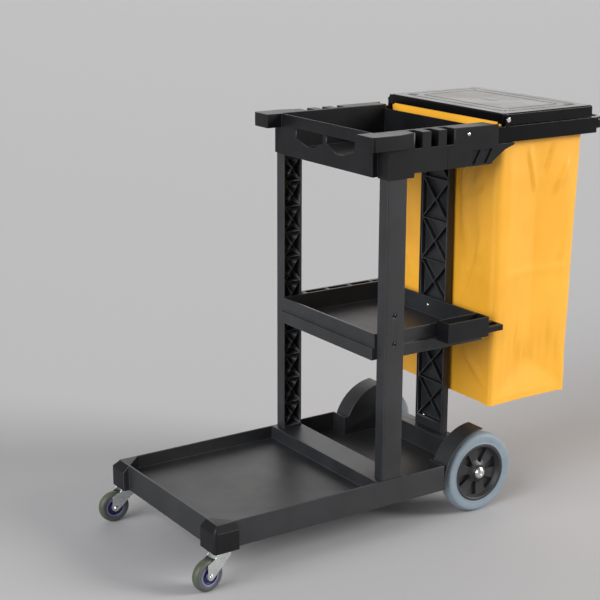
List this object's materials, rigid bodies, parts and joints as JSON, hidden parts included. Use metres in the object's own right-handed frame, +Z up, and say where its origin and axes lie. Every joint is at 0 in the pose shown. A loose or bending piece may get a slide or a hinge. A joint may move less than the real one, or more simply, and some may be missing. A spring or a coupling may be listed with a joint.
{
  "type": "housekeeping cart",
  "caption": "Janitor's cleaning cart: moulded deck on swivel casters and large rear wheels, posts, mid shelf, top tray with tool slots, lidded frame with a hanging bag.",
  "frame": {"origin": "on the floor under the middle of the whole cart", "axes": "+Z up; -X is the front, where the casters are; +X is the end with the bag and the push handle; -Y is the cart's left side"},
  "size_m": [1.1857, 0.495, 0.98],
  "materials": {
    "black_plastic": "satin moulded black plastic",
    "lid_plastic": "smooth black plastic with a soft gloss",
    "bag_fabric": "coated yellow cloth with a slight sheen",
    "bright_steel": "bright plated steel",
    "axle_steel": "drawn steel rod",
    "zinc": "bright zinc plate",
    "grey_tyre": "non-marking pale blue-grey rubber",
    "caster_tyre": "grey-green rubber",
    "caster_hub": "lilac plastic with a dark ring"
  },
  "bodies": {
    "cart": {"base_deck": "black_plastic", "front_post_left": "black_plastic", "front_post_right": "black_plastic", "rear_post": "black_plastic", "mid_shelf": "black_plastic", "tool_bracket_left": "black_plastic", "tool_bracket_right": "black_plastic", "top_tray": "black_plastic", "bag_arm_left": "black_plastic", "bag_arm_right": "black_plastic", "bag_frame": "black_plastic", "push_handle": "black_plastic", "bag": "bag_fabric", "lid_hinge_pin_left": "bright_steel", "lid_hinge_pin_right": "bright_steel", "rear_axle": "axle_steel", "caster_stem_left": "zinc", "caster_stem_right": "zinc", "post_screw_left_lower": "bright_steel", "post_screw_left_upper": "bright_steel", "post_screw_right_lower": "bright_steel", "post_screw_right_upper": "bright_steel", "arm_screw_left": "bright_steel", "arm_screw_right": "bright_steel", "shelf_rear_screw": "bright_steel", "rear_post_foot_screw": "bright_steel"},
    "rear_wheel_left": {"rear_tyre_left": "grey_tyre", "rear_hub_left": "black_plastic", "axle_cap_left": "bright_steel"},
    "caster_left": {"caster_fork_left": "zinc", "caster_axle_left": "bright_steel"},
    "caster_wheel_left": {"caster_tyre_left": "caster_tyre", "caster_hub_left": "caster_hub"},
    "rear_wheel_right": {"rear_tyre_right": "grey_tyre", "rear_hub_right": "black_plastic", "axle_cap_right": "bright_steel"},
    "caster_right": {"caster_fork_right": "zinc", "caster_axle_right": "bright_steel"},
    "caster_wheel_right": {"caster_tyre_right": "caster_tyre", "caster_hub_right": "caster_hub"},
    "lid": {"lid": "lid_plastic"}
  },
  "joints": [
    {"name": "rear_wheel_left_spin", "type": "hinge", "parent": "cart", "child": "rear_wheel_left", "pos_m": [0.2213, -0.202, 0.101], "axis": [0, 1, 0], "continuous": true},
    {"name": "rear_wheel_right_spin", "type": "hinge", "parent": "cart", "child": "rear_wheel_right", "pos_m": [0.2213, 0.202, 0.101], "axis": [0, 1, 0], "continuous": true},
    {"name": "caster_left_swivel", "type": "hinge", "parent": "cart", "child": "caster_left", "pos_m": [-0.5192, -0.2215, 0.08], "axis": [0, 0, 1], "continuous": true},
    {"name": "caster_left_wheel_spin", "type": "hinge", "parent": "caster_left", "child": "caster_wheel_left", "pos_m": [-0.55485, -0.22651, 0.0375], "axis": [-0.1392, 0.9903, 0], "continuous": true},
    {"name": "caster_right_swivel", "type": "hinge", "parent": "cart", "child": "caster_right", "pos_m": [-0.5192, 0.2215, 0.08], "axis": [0, 0, 1], "continuous": true},
    {"name": "caster_right_wheel_spin", "type": "hinge", "parent": "caster_right", "child": "caster_wheel_right", "pos_m": [-0.55515, 0.22338, 0.0375], "axis": [0.0523, 0.9986, 0], "continuous": true},
    {"name": "lid_hinge", "type": "hinge", "parent": "cart", "child": "lid", "pos_m": [0.2618, 0, 0.966], "axis": [0, -1, 0], "range_deg": [0, 100]}
  ]
}
